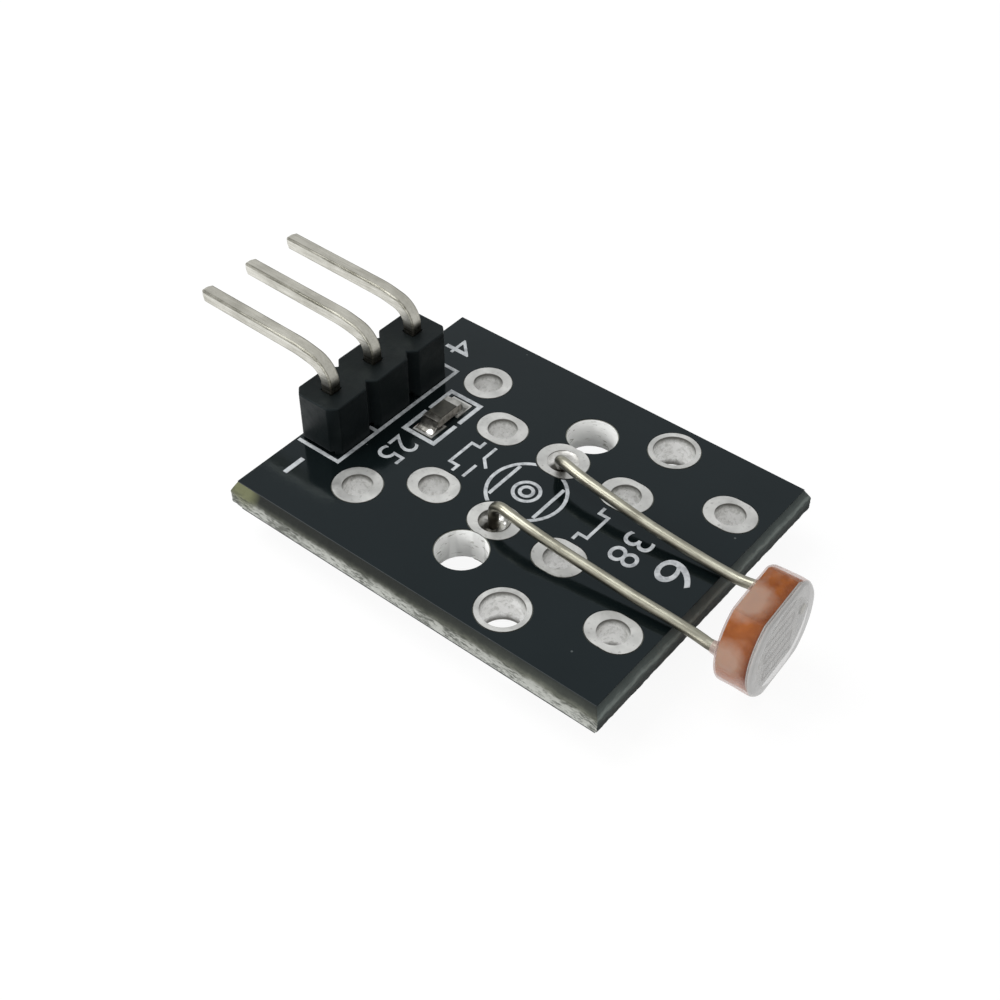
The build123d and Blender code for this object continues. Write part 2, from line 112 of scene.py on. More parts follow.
class Shader:
    """A material with a principled shader, and short ways to add the nodes that feed it."""

    def __init__(self, name, **sockets):
        self.material = bpy.data.materials.new(name)
        self.material.use_nodes = True
        self.nodes = self.material.node_tree.nodes
        self.links = self.material.node_tree.links
        self.surface = self.nodes["Principled BSDF"]
        for socket, value in sockets.items():
            self.surface.inputs[socket.replace("_", " ")].default_value = value

    def link(self, source, target):
        """Feed a socket from another socket, or set it to a plain value."""
        if isinstance(source, bpy.types.NodeSocket):
            self.links.new(source, target)
        else:
            target.default_value = source

    def feed(self, name, source):
        """Feed one socket of the principled shader."""
        self.link(source, self.surface.inputs[name])

    def coords(self, stretch=(1, 1, 1)):
        """Object coordinates in millimetres, times a stretch for each axis."""
        place = self.nodes.new("ShaderNodeTexCoord")
        scale = self.nodes.new("ShaderNodeVectorMath")
        scale.operation = "MULTIPLY"
        scale.inputs[1].default_value = [value / MM for value in stretch]
        self.links.new(place.outputs["Object"], scale.inputs[0])
        return scale.outputs[0]

    def noise(self, vector, scale, detail=4.0, roughness=0.55, distortion=0.0):
        """Noise between 0 and 1 at a scale in waves per millimetre."""
        texture = self.nodes.new("ShaderNodeTexNoise")
        texture.inputs["Scale"].default_value = scale
        texture.inputs["Detail"].default_value = detail
        texture.inputs["Roughness"].default_value = roughness
        texture.inputs["Distortion"].default_value = distortion
        self.links.new(vector, texture.inputs["Vector"])
        return texture.outputs[0]

    def cells(self, vector, scale):
        """Distance to the nearest point of a cell pattern."""
        texture = self.nodes.new("ShaderNodeTexVoronoi")
        texture.inputs["Scale"].default_value = scale
        self.links.new(vector, texture.inputs["Vector"])
        return texture.outputs["Distance"]

    def ramp(self, factor, *stops):
        """Colours or grey values along a factor; each stop is (place, value)."""
        node = self.nodes.new("ShaderNodeValToRGB")
        elements = node.color_ramp.elements
        while len(elements) < len(stops):
            elements.new(0.5)
        for element, (place, value) in zip(elements, stops):
            element.position = place
            shade = value if isinstance(value, tuple) else (value, value, value)
            element.color = (*shade, 1.0)
        self.links.new(factor, node.inputs[0])
        return node.outputs[0]

    def math(self, operation, first, second=0.0):
        """One step of arithmetic on two values."""
        node = self.nodes.new("ShaderNodeMath")
        node.operation = operation
        self.link(first, node.inputs[0])
        self.link(second, node.inputs[1])
        return node.outputs[0]

    def mix(self, factor, first, second):
        """Blend of two colours."""
        node = self.nodes.new("ShaderNodeMix")
        node.data_type = "RGBA"
        self.link(factor, node.inputs["Factor"])
        for value, socket in ((first, node.inputs[6]), (second, node.inputs[7])):
            self.link((*value, 1.0) if isinstance(value, tuple) else value, socket)
        return node.outputs[2]

    def axis(self, name, low, high):
        """Share from 0 to 1 of the way between two levels along one axis, in millimetres."""
        split = self.nodes.new("ShaderNodeSeparateXYZ")
        self.links.new(self.coords(), split.inputs[0])
        node = self.nodes.new("ShaderNodeMapRange")
        node.inputs["From Min"].default_value = low
        node.inputs["From Max"].default_value = high
        self.links.new(split.outputs[name], node.inputs["Value"])
        return node.outputs[0]

    def nearness(self, centre, radius):
        """Share from 0 at a distance from a point to 1 at the point itself, in millimetres."""
        away = self.nodes.new("ShaderNodeVectorMath")
        away.operation = "DISTANCE"
        away.inputs[1].default_value = centre
        self.links.new(self.coords(), away.inputs[0])
        node = self.nodes.new("ShaderNodeMapRange")
        node.inputs["From Min"].default_value = radius
        node.inputs["From Max"].default_value = 0.0
        self.links.new(away.outputs["Value"], node.inputs["Value"])
        return node.outputs[0]

    def towards(self, direction):
        """How far the surface faces a direction: 0 away from it, 0.5 across it, 1 straight at it."""
        surface = self.nodes.new("ShaderNodeNewGeometry")
        turn = self.nodes.new("ShaderNodeVectorMath")
        turn.operation = "DOT_PRODUCT"
        turn.inputs[1].default_value = direction
        self.links.new(surface.outputs["Normal"], turn.inputs[0])
        return self.math("ADD", self.math("MULTIPLY", turn.outputs["Value"], 0.5), 0.5)

    def depth(self, reach):
        """Share from 0 on either face of the board to 1 at a reach below it, in millimetres."""
        split = self.nodes.new("ShaderNodeSeparateXYZ")
        self.links.new(self.coords(), split.inputs[0])
        node = self.nodes.new("ShaderNodeMapRange")
        node.inputs["From Min"].default_value = BOARD_TOP / 2
        node.inputs["From Max"].default_value = BOARD_TOP / 2 - reach
        away = self.math("ABSOLUTE", self.math("SUBTRACT", split.outputs["Z"], BOARD_TOP / 2))
        self.links.new(away, node.inputs["Value"])
        return node.outputs[0]

    def bump(self, height, depth):
        """Fine relief of a height, whose full depth is in millimetres."""
        node = self.nodes.new("ShaderNodeBump")
        node.inputs["Distance"].default_value = depth * MM
        self.links.new(height, node.inputs["Height"])
        self.links.new(node.outputs[0], self.surface.inputs["Normal"])


# Materials

# Spans in which a pin or a wire has painted shade at its foot, where it meets the housing or the hole:
# axis, where it starts and where it is full
PIN_FOOT_SHADE = [("Z", 4.78, 4.40), ("Z", 1.50, 2.00)]
WIRE_FOOT_SHADE = [("X", -2.40, -2.80), ("Z", 2.72, 2.35)]

# Painted shade and highlight on the tinned metal by how far it faces a direction, from away from it to
# straight at it
NEAR_SIDE = (0.0, -1.0, 0.0)
NEAR_UNDERSIDE = (0.0, -0.78, -0.63)
PIN_PAINTED_SHADING = ((0.55, (0.59, 0.58, 0.52)), (0.85, (0.77, 0.76, 0.70)))
PIN_EDGE_PAINTED_SHADING = ((0.40, (0.42, 0.41, 0.36)), (0.80, (0.50, 0.49, 0.43)))
# The wire's painted highlight line, and its dark underside painted for the black board's reflection
WIRE_PAINTED_SHADING = (
    (0.00, (0.32, 0.315, 0.255)),
    (0.18, (0.46, 0.455, 0.375)),
    (0.45, (0.44, 0.435, 0.355)),
    (0.53, (0.53, 0.525, 0.435)),
    (0.59, (0.43, 0.415, 0.34)),
    (0.67, (0.17, 0.16, 0.13)),
    (1.00, (0.10, 0.095, 0.075)),
)

# Painted marks on the solder, painted shade in the hollow beside each lead and a painted glint on the
# chip's dark fillet: centre, reach and colour
PAINTED_CREVICE_SHADE = (0.03, 0.028, 0.022)
PAINTED_GLINT = (0.98, 0.98, 0.97)
POOL_A_PAINTED_SHADE = ((-3.20, 1.85, 1.60), 0.55, PAINTED_CREVICE_SHADE)
POOL_B_PAINTED_SHADE = ((-3.32, -2.45, 1.40), 0.70, PAINTED_CREVICE_SHADE)
CHIP_PAINTED_GLINT = ((-8.72, 0.03, 1.72), 0.24, PAINTED_GLINT)

# Darkening of the cut edge's upper slope, along X and Z, and its dark bottom line: where each starts and
# where it is full
DARKER_SLOPE_ALONG = (3.5, -4.5)
DARKER_SLOPE_UP = (0.90, 1.25)
BOTTOM_LINE = (0.17, 0.09)

# Corner of the cut edge that is tinged: centre and reach
OLIVE_CORNER = ((-12.5, -7.2, 1.35), 1.1)

# How far down a plated hole its wall turns from the painted shade at its lip to its own tone
LIP_REACH = 0.75


def mask_shader():
    """Black solder mask: glossy, with slight waves and a few specks of dust."""
    shader = Shader("solder_mask_black", IOR=1.365, Specular_Tint=(0.72, 0.89, 1.0, 1.0))
    place = shader.coords()
    tone = shader.noise(place, 0.22, 3.0)
    speck = shader.ramp(shader.cells(place, 0.62), (0.020, 1.0), (0.034, 0.0))
    colour = shader.ramp(tone, (0.3, (0.0036, 0.0062, 0.0066)), (0.7, (0.0050, 0.0082, 0.0088)))
    shader.feed("Base Color", shader.mix(speck, colour, (0.09, 0.10, 0.10)))
    rough = shader.noise(place, 1.4, 5.0)
    shader.feed("Roughness", shader.ramp(rough, (0.3, 0.09), (0.75, 0.16)))
    shader.bump(shader.noise(place, 2.2, 4.0), 0.0035)
    return shader.material


def pad_shader():
    """Levelled tin on copper: mottled pads, and holes with painted shade at their lip and a dull pale wall,
    partly painted light coming up through the hole.
    """
    shader = Shader("tinned_pad", Metallic=0.85, Roughness=0.38)
    place = shader.coords()
    tone = shader.noise(place, 1.1, 5.0, 0.6)
    flat = shader.ramp(tone, (0.28, (0.50, 0.505, 0.49)), (0.72, (0.72, 0.725, 0.705)))
    spots = shader.ramp(shader.noise(place, 5.5, 3.0), (0.60, 0.0), (0.78, 1.0))
    flat = shader.mix(spots, flat, (0.40, 0.40, 0.385))
    cloud = shader.noise(place, 4.5, 7.0, 0.75, 0.4)
    # The wall's tin is paler than the pads', partly as painted light coming up through the hole
    wall = shader.ramp(cloud, (0.36, (0.67, 0.67, 0.645)), (0.52, (0.98, 0.98, 0.965)))
    down = shader.depth(LIP_REACH)
    below = shader.math("ADD", down, shader.math("MULTIPLY", cloud, 0.3))
    # Painted shade just inside the hole's lip
    lip = shader.ramp(below, (0.26, 1.0), (0.62, 0.0))
    wall = shader.mix(lip, wall, (0.15, 0.147, 0.135))
    inside = shader.ramp(down, (0.0, 0.0), (0.01, 1.0))
    shader.feed("Base Color", shader.mix(inside, flat, wall))
    shader.feed("Metallic", shader.ramp(inside, (0.0, 0.85), (1.0, 0.45)))
    shader.feed("Roughness", shader.ramp(tone, (0.3, 0.30), (0.7, 0.50)))
    shader.bump(shader.noise(place, 2.6, 3.0), 0.010)
    return shader.material


def solder_shader(name, dark, pale, rough_low, rough_high, painted_spot=None):
    """Mottled solder, duller in places, with painted shade or a painted glint where one is given."""
    shader = Shader(name, Metallic=1.0)
    place = shader.coords()
    tone = shader.noise(place, 2.4, 5.0, 0.6)
    metal = shader.ramp(tone, (0.35, dark), (0.60, pale))
    if painted_spot:
        centre, reach, colour = painted_spot
        near = shader.math("ADD", shader.nearness(centre, reach), shader.math("MULTIPLY", tone, 0.2))
        metal = shader.mix(shader.ramp(near, (0.30, 0.0), (0.60, 0.95)), metal, colour)
    shader.feed("Base Color", metal)
    shader.feed("Roughness", shader.ramp(tone, (0.35, rough_high), (0.65, rough_low)))
    shader.bump(shader.noise(place, 6.0, 3.0), 0.008)
    return shader.material


def drawn_metal_shader(name, direction, painted_shading, worn, roughness, foot):
    """Tinned wire or pin: painted shade and highlight by the way it faces, worn streaks, and painted shade
    at its foot in given spans.
    """
    shader = Shader(name, Metallic=1.0)
    lines = shader.noise(shader.coords((0.12, 2, 2)), 6.0, 4.0, 0.6)
    patches = shader.noise(shader.coords(), 0.9, 4.0)
    tone = shader.ramp(shader.towards(direction), *painted_shading)
    wear = shader.ramp(shader.math("MULTIPLY", lines, patches), (0.14, 0.9), (0.34, 0.0))
    tone = shader.mix(wear, tone, worn)
    # Painted shade at the foot of the pin or wire
    foot_shade = shader.ramp(lines, (0.35, 1.0), (0.65, 0.8))
    for axis, low, high in foot:
        foot_shade = shader.math("MULTIPLY", foot_shade, shader.axis(axis, low, high))
    shader.feed("Base Color", shader.mix(foot_shade, tone, (0.060, 0.055, 0.042)))
    shader.feed("Roughness", shader.ramp(patches, (0.3, roughness - 0.07), (0.7, roughness + 0.07)))
    shader.bump(lines, 0.002)
    return shader.material


def housing_shader():
    """Black moulded nylon: faint grain, and a little paler in places."""
    shader = Shader("moulded_black", IOR=1.27, Specular_Tint=(0.78, 0.95, 1.0, 1.0))
    place = shader.coords()
    tone = shader.noise(place, 0.8, 4.0)
    colour = shader.ramp(tone, (0.3, (0.0028, 0.0042, 0.0045)), (0.75, (0.0056, 0.0078, 0.0080)))
    shader.feed("Base Color", colour)
    shader.feed("Roughness", shader.ramp(shader.noise(place, 2.5, 4.0), (0.3, 0.34), (0.7, 0.52)))
    shader.bump(shader.noise(place, 7.0, 4.0), 0.006)
    return shader.material


def copper_shader():
    """Bare copper under the mask: a little stained."""
    shader = Shader("copper", Metallic=1.0, Roughness=0.4)
    tone = shader.noise(shader.coords(), 1.8, 5.0, 0.6)
    shader.feed("Base Color", shader.ramp(tone, (0.3, (0.42, 0.20, 0.12)), (0.7, (0.72, 0.40, 0.27))))
    shader.bump(tone, 0.004)
    return shader.material


def print_shader():
    """White marking ink: uneven cover, slightly blue."""
    shader = Shader("white_ink", Roughness=0.55)
    place = shader.coords()
    tone = shader.noise(place, 3.5, 5.0, 0.65)
    shader.feed("Base Color", shader.ramp(tone, (0.30, (0.30, 0.32, 0.34)), (0.60, (0.62, 0.65, 0.67))))
    shader.bump(tone, 0.008)
    return shader.material


def laminate_shader(name, stretch, bands, specks):
    """Cut edge of glass fibre board: a scored slope over broken fibres, with torn dark specks, and the
    slope darker towards the header end.
    """
    shader = Shader(name, IOR=1.4, Roughness=0.85)
    fine = shader.noise(shader.coords(stretch), 7.0, 6.0, 0.75, 0.3)
    broad = shader.noise(shader.coords(), 0.7, 4.0, 0.6)
    height = shader.axis("Z", 1.55, 0.35)
    place = shader.math("ADD", height, shader.math("MULTIPLY", broad, 0.22))
    place = shader.math("ADD", place, shader.math("MULTIPLY", fine, 0.22))
    tone = shader.ramp(shader.math("SUBTRACT", place, 0.22), *bands)
    torn = shader.math("MULTIPLY", fine, shader.math("ADD", broad, 0.5))
    torn = shader.ramp(torn, (0.42, 1.0), (0.52, 0.0))
    torn = shader.math("MULTIPLY", torn, shader.ramp(height, (0.25, 0.0), (0.45, specks)))
    darker_slope = shader.math("MULTIPLY", shader.axis("X", *DARKER_SLOPE_ALONG), shader.axis("Z", *DARKER_SLOPE_UP))
    tone = shader.mix(shader.math("MULTIPLY", darker_slope, 0.85), tone, (0.012, 0.014, 0.012))
    bottom = shader.math("MULTIPLY", shader.axis("Z", *BOTTOM_LINE), 0.75)
    tone = shader.mix(bottom, tone, (0.045, 0.05, 0.045))
    olive = shader.ramp(shader.nearness(*OLIVE_CORNER), (0.1, 0.0), (0.6, 0.8))
    tone = shader.mix(olive, tone, (0.19, 0.20, 0.105))
    shader.feed("Base Color", shader.mix(torn, tone, (0.050, 0.056, 0.045)))
    shader.bump(fine, 0.03)
    return shader.material


def board_face_shader():
    """Bare laminate where the mask leaves it open: a little uneven in tone and relief."""
    shader = Shader("laminate_face", Roughness=0.6)
    tone = shader.noise(shader.coords(), 2.0, 4.0)
    shader.feed("Base Color", shader.ramp(tone, (0.3, (0.16, 0.17, 0.14)), (0.7, (0.30, 0.31, 0.27))))
    shader.bump(shader.noise(shader.coords((1, 1, 4)), 4.0, 5.0), 0.02)
    return shader.material


def drilled_shader():
    """Drilled wall of the bare laminate: pale, with fine dark cracks between the glass layers."""
    shader = Shader("laminate_drilled", Roughness=0.7)
    layers = shader.noise(shader.coords((0.5, 0.5, 2.2)), 3.0, 6.0, 0.7, 0.6)
    cracks = shader.ramp(layers, (0.36, 1.0), (0.42, 0.0))
    tone = shader.noise(shader.coords(), 1.2, 3.0)
    colour = shader.ramp(tone, (0.3, (0.90, 0.905, 0.89)), (0.7, (0.97, 0.975, 0.96)))
    shader.feed("Base Color", shader.mix(cracks, colour, (0.40, 0.39, 0.36)))
    shader.bump(layers, 0.03)
    return shader.material


def chip_coat_shader():
    """Dark glaze over the resistor's film, a little brown and uneven."""
    shader = Shader("chip_glaze", Roughness=0.3)
    tone = shader.noise(shader.coords(), 3.0, 4.0)
    colour = shader.ramp(tone, (0.35, (0.010, 0.010, 0.007)), (0.65, (0.034, 0.033, 0.024)))
    shader.feed("Base Color", colour)
    shader.bump(tone, 0.012)
    return shader.material


def chip_ceramic_shader():
    """White ceramic of the resistor's body, stained in places."""
    shader = Shader("chip_ceramic", Roughness=0.6)
    tone = shader.noise(shader.coords(), 4.0, 4.0)
    shader.feed("Base Color", shader.ramp(tone, (0.35, (0.10, 0.09, 0.075)), (0.65, (0.34, 0.32, 0.28))))
    return shader.material


def sensor_side_shader():
    """Orange-brown body of the photoresistor, with cloudy cream patches, seen through its coat."""
    shader = Shader("sensor_body", Roughness=0.45, IOR=1.2)
    shader.surface.inputs["Subsurface Weight"].default_value = 0.25
    shader.surface.inputs["Subsurface Radius"].default_value = (0.0006, 0.0002, 0.0001)
    clouds = shader.noise(shader.coords(), 1.1, 4.0, 0.6, 0.4)
    grain = shader.noise(shader.coords(), 3.0, 5.0, 0.6)
    orange = shader.ramp(grain, (0.3, (0.235, 0.058, 0.005)), (0.7, (0.37, 0.105, 0.013)))
    rust = shader.ramp(shader.axis("X", *SENSOR_RUST_SPAN), (0.3, 0.0), (0.85, 0.5), (1.0, 0.9))
    pale = shader.math("MULTIPLY", clouds, 0.9)
    for centre, radius in SENSOR_PATCHES:
        pale = shader.math("ADD", pale, shader.nearness(centre, radius))
    cream = shader.ramp(pale, (0.48, 0.0), (1.0, 0.70))
    body = shader.mix(cream, orange, (0.50, 0.36, 0.285))
    shader.feed("Base Color", shader.mix(rust, body, (0.13, 0.028, 0.007)))
    shader.bump(grain, 0.01)
    return shader.material


def sensor_face_shader():
    """Light-sensitive film between the combs: dull grains of a warm grey."""
    shader = Shader("sensor_film", Roughness=0.55)
    grain = shader.noise(shader.coords(), 9.0, 5.0, 0.7)
    shader.feed("Base Color", shader.ramp(grain, (0.3, (0.31, 0.30, 0.285)), (0.7, (0.41, 0.395, 0.38))))
    shader.bump(grain, 0.01)
    return shader.material


def comb_shader():
    """Evaporated metal combs: pale satin grey with faint wiped streaks."""
    shader = Shader("sensor_comb", Metallic=0.35, Roughness=0.5)
    streaks = shader.noise(shader.coords((1, 0.7, 0.25)), 3.5, 5.0, 0.65)
    colour = shader.ramp(streaks, (0.32, (0.37, 0.37, 0.365)), (0.62, (0.60, 0.60, 0.585)))
    shader.feed("Base Color", colour)
    return shader.material


def clear_coat_shader(name, clear, milky):
    """Clear resin: nearly invisible face on, milky and pinkish along its surface, grey at its front rim."""
    shader = Shader(name, IOR=1.35, Roughness=0.16)
    edge = shader.nodes.new("ShaderNodeLayerWeight")
    edge.inputs["Blend"].default_value = 0.35
    cloud = shader.noise(shader.coords(), 0.9, 3.0)
    haze = shader.ramp(edge.outputs["Facing"], (0.30, clear), (0.50, (clear + milky) / 2), (0.80, milky))
    front = shader.ramp(shader.towards((1.0, 0.0, 0.0)), (0.62, 0.0), (0.74, 1.0))
    front = shader.math("MULTIPLY", front, shader.axis("X", *SENSOR_RIM_SPAN))
    near = shader.nearness(SENSOR_FRONT_CENTRE, SENSOR_RIM_REACH)
    rim = shader.ramp(near, (0.28, 0.92), (0.345, 0.0))
    rim = shader.math("MULTIPLY", rim, front)
    shader.feed("Alpha", shader.math("MAXIMUM", haze, rim))
    tint = shader.ramp(cloud, (0.3, (0.58, 0.36, 0.30)), (0.7, (0.74, 0.60, 0.56)))
    shader.feed("Base Color", shader.mix(front, tint, (0.49, 0.485, 0.475)))
    shader.bump(shader.noise(shader.coords(), 1.6, 3.0), 0.03)
    return shader.material


# Mesh helpers

def add_piece(name, mesh, materials, replaced=()):
    """Put a mesh in the scene as a piece of the one body."""
    piece = bpy.data.objects.new(name, mesh)
    bpy.context.scene.collection.objects.link(piece)
    for material in materials:
        mesh.materials.append(material)
    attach(piece, "root")
    if replaced:
        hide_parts(*replaced)
    return piece


def mesh_from(bm, name, smooth_angle=40.0):
    """Finish a mesh: smooth, with creases where faces meet at more than an angle."""
    bmesh.ops.recalc_face_normals(bm, faces=bm.faces)
    mesh = bpy.data.meshes.new(name)
    bm.to_mesh(mesh)
    bm.free()
    mesh.shade_smooth()
    mesh.set_sharp_from_angle(angle=radians(smooth_angle))
    return mesh


def join_rings(bm, rings, slots=None):
    """Faces between rings of vertices, with a material slot for each place along a ring if given."""
    for first, second in zip(rings, rings[1:]):
        for index in range(len(first)):
            after = (index + 1) % len(first)
            face = bm.faces.new((first[index], first[after], second[after], second[index]))
            if slots:
                face.material_index = slots[index]


def node_copy(node):
    """A node's mesh as an editable copy with its seams closed."""
    bm = bmesh.new()
    bm.from_mesh(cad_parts[node].data)
    bmesh.ops.remove_doubles(bm, verts=bm.verts, dist=0.0005 * MM)
    return bm


def rounded_copy(name, node, width, material, edge_material=None):
    """A node with its sharp edges rounded by a width, in a material of their own if one is given."""
    bm = node_copy(node)
    bmesh.ops.dissolve_limit(bm, angle_limit=radians(1.0), verts=bm.verts, edges=bm.edges)
    mesh = mesh_from(bm, name)
    materials = [material, edge_material] if edge_material else [material]
    piece = add_piece(name, mesh, materials, [node])
    bevel = piece.modifiers.new("rounded_edges", "BEVEL")
    bevel.width = width * MM
    bevel.segments = 3
    bevel.limit_method = "ANGLE"
    bevel.angle_limit = radians(35.0)
    bevel.harden_normals = True
    bevel.material = len(materials) - 1


def dress(node, material):
    """Give a node that keeps its own mesh a better material."""
    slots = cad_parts[node].material_slots
    for slot in slots:
        slot.material = material


def evaluated_copy(name, source):
    """What a temporary object looks like in the end, as a mesh; the object is removed."""
    bpy.context.scene.collection.objects.link(source)
    graph = bpy.context.evaluated_depsgraph_get()
    mesh = bpy.data.meshes.new_from_object(source.evaluated_get(graph))
    mesh.name = name
    bpy.data.objects.remove(source)
    return mesh


def lumpy_copy(name, node, material, voxel, lump, waves):
    """A node of solder as one soft lumpy skin, as it flowed and set."""
    bm = node_copy(node)
    source_mesh = bpy.data.meshes.new(name + "_source")
    bm.to_mesh(source_mesh)
    bm.free()
    source = bpy.data.objects.new(name + "_source", source_mesh)
    remesh = source.modifiers.new("remesh", "REMESH")
    remesh.mode = "VOXEL"
    remesh.voxel_size = voxel * MM
    smooth = source.modifiers.new("smooth", "SMOOTH")
    smooth.iterations = 4
    mesh = evaluated_copy(name, source)
    normals = [vertex.normal.copy() for vertex in mesh.vertices]
    for vertex, normal in zip(mesh.vertices, normals):
        height = noise.fractal(vertex.co / MM * waves, 1.0, 2.0, 3) * lump
        vertex.co += normal * height * MM
    mesh.materials.clear()
    mesh.shade_smooth()
    add_piece(name, mesh, [material], [node])


# Board with its scored and snapped edges

EDGE_STEP = 0.05
EDGE_ROWS = 22

# How far the broken fibres stand out on each side: near, sensor end, far and header end
EDGE_ROUGHNESS = (0.05, 0.03, 0.05, 0.05)

# Where the materials of the four sides start in the board's list, after its faces and drilled walls
FIRST_EDGE_SLOT = 2

# Colours down the cut edge, from the upper face to below the middle
PALE_EDGE = (
    (0.00, (0.022, 0.026, 0.023)),
    (0.20, (0.045, 0.050, 0.042)),
    (0.36, (0.14, 0.147, 0.120)),
    (0.50, (0.42, 0.43, 0.395)),
    (0.90, (0.52, 0.535, 0.50)),
)
DARK_EDGE = (
    (0.00, (0.045, 0.057, 0.054)),
    (0.22, (0.085, 0.103, 0.097)),
    (0.33, (0.20, 0.23, 0.215)),
    (0.42, (0.060, 0.074, 0.070)),
    (0.70, (0.022, 0.028, 0.027)),
)


def rectangle_ring(inset, level):
    """Points round the board at an inset and a level, with the side that each belongs to."""
    low_x, high_x = BOARD_ENDS[0] + inset, BOARD_ENDS[1] - inset
    half = BOARD_HALF_WIDTH - inset
    corners = [(low_x, -half), (high_x, -half), (high_x, half), (low_x, half)]
    lengths = [BOARD_ENDS[1] - BOARD_ENDS[0], 2 * BOARD_HALF_WIDTH] * 2
    ring = []
    for side in range(4):
        start, end = Vector(corners[side]), Vector(corners[(side + 1) % 4])
        count = round(lengths[side] / EDGE_STEP)
        for index in range(count):
            flat = start.lerp(end, index / count)
            ring.append((Vector((flat.x, flat.y, level)), side))
    return ring


def edge_profile(share):
    """Inset and level of the cut edge at a share of the way down it."""
    top, bottom = BOARD_TOP - MASK, MASK
    level = top + (bottom - top) * share
    depth = min(top - level, level - bottom)
    return max(0.0, SCORE_REACH * (1 - depth / SCORE_DEPTH)), level


def snapped_edge(bm):
    """Rough skin round the board: fibres stand out where the web between the scores was broken."""
    outward = [Vector((0, -1, 0)), Vector((1, 0, 0)), Vector((0, 1, 0)), Vector((-1, 0, 0))]
    rows = []
    for row in range(EDGE_ROWS + 1):
        share = row / EDGE_ROWS
        inset, level = edge_profile(share)
        broken = sin(pi * share) ** 0.5 if 0 < share < 1 else 0.0
        ring = []
        for place, side in rectangle_ring(inset, level):
            along = place.x if side % 2 == 0 else place.y
            fibre = noise.fractal(Vector((along * 3.5, level * 9.0, side * 17.0)), 0.9, 2.1, 4)
            chips = noise.fractal(Vector((along * 1.2, level * 2.0, side * 5.0)), 1.0, 2.0, 3)
            shift = (fibre * 0.8 + chips * 0.6 - 0.25) * EDGE_ROUGHNESS[side] * broken
            ring.append(bm.verts.new((place + outward[side] * shift) * MM))
        rows.append(ring)
    join_rings(bm, rows, [FIRST_EDGE_SLOT + side for _, side in rectangle_ring(0, 0)])


def make_board():
    """The laminate: its own faces and drilled walls, with the cut edges made afresh."""
    bm = node_copy("circuit_board")
    cut = []
    for face in bm.faces:
        centre = face.calc_center_median() / MM
        beyond_x = centre.x < BOARD_ENDS[0] + SCORE_REACH or centre.x > BOARD_ENDS[1] - SCORE_REACH
        beyond_y = abs(centre.y) > BOARD_HALF_WIDTH - SCORE_REACH
        upright = abs(face.normal.z) < 0.95
        if upright and (beyond_x or beyond_y):
            cut.append(face)
        face.material_index = 1 if upright else 0
    bmesh.ops.delete(bm, geom=cut, context="FACES")
    snapped_edge(bm)
    mesh = mesh_from(bm, "scored_board", 50.0)
    materials = [
        board_face_shader(),
        drilled_shader(),
        laminate_shader("laminate_edge_near", (0.35, 1, 1.3), PALE_EDGE, 0.8),
        laminate_shader("laminate_edge_sensor_end", (1, 0.3, 1.3), DARK_EDGE, 0.3),
        laminate_shader("laminate_edge_far", (0.35, 1, 1.3), PALE_EDGE, 0.8),
        laminate_shader("laminate_edge_header_end", (1, 0.35, 1.3), PALE_EDGE, 0.6),
    ]
    add_piece("scored_board", mesh, materials, ["circuit_board"])


# Solder that is seen from above, in the two lead holes

POOL_RINGS = 22
POOL_SPOKES = 64

# How far from the hole's wall and from the lead the solder is drawn up
WALL_REACH = 0.14
LEAD_REACH = 0.12


def solder_pool(name, material, centre, low, wall_rise, lead_rise, lean, lump):
    """Surface of the solder in one hole, drawn up at the wall and at the lead."""
    bm = bmesh.new()
    rows = []
    for ring in range(1, POOL_RINGS + 1):
        radius = LEAD_HOLE_RADIUS * ring / POOL_RINGS
        row = []
        for spoke in range(POOL_SPOKES):
            angle = 2 * pi * spoke / POOL_SPOKES
            x, y = radius * cos(angle), radius * sin(angle)
            at_wall = exp(-(LEAD_HOLE_RADIUS - radius) / WALL_REACH) * (1 + lean * cos(angle))
            at_lead = exp(-max(0.0, radius - LEAD_RADIUS) / LEAD_REACH)
            ripple = noise.fractal(Vector((x * 3.1, y * 3.1, centre[1] * 7)), 1.0, 2.0, 3) * lump
            level = low + wall_rise * at_wall + lead_rise * at_lead + ripple * (1 - at_lead)
            row.append(bm.verts.new(Vector((centre[0] + x, centre[1] + y, level)) * MM))
        rows.append(row)
    join_rings(bm, rows)
    bm.faces.new(rows[0])
    add_piece(name, mesh_from(bm, name, 70.0), [material])


# Photoresistor

# The coat's rounded rims, the insets of its face rings and the levels of its side rings
COAT_RIM = 0.17
COAT_FACE_INSETS = (1.9, 1.0, 0.5)
COAT_SIDE_LEVELS = (0.5, 0.8, 1.15)
COAT_WAVE = 0.035

# The collars: how far they start inside the coat, how long they are, how they widen and their thin end
COLLAR_SUNK = 0.04
COLLAR_LENGTH = 0.42
COLLAR_FLARE = 0.24
COLLAR_SKIN = 0.02
COLLAR_STEPS = 8
COLLAR_SIDES = 40


def sensor_outline(inset, count=180):
    """Outline of the disc at an inset: a circle with two flats and softened corners."""
    radius, flat = SENSOR_RADIUS - inset, SENSOR_HALF_FLATS - inset
    points = []
    for index in range(count):
        angle = 2 * pi * index / count
        points.append(Vector((radius * cos(angle), max(-flat, min(flat, radius * sin(angle))))))
    for _ in range(3):
        points = [(points[i - 1] + points[i] * 2 + points[(i + 1) % count]) / 4 for i in range(count)]
    return points


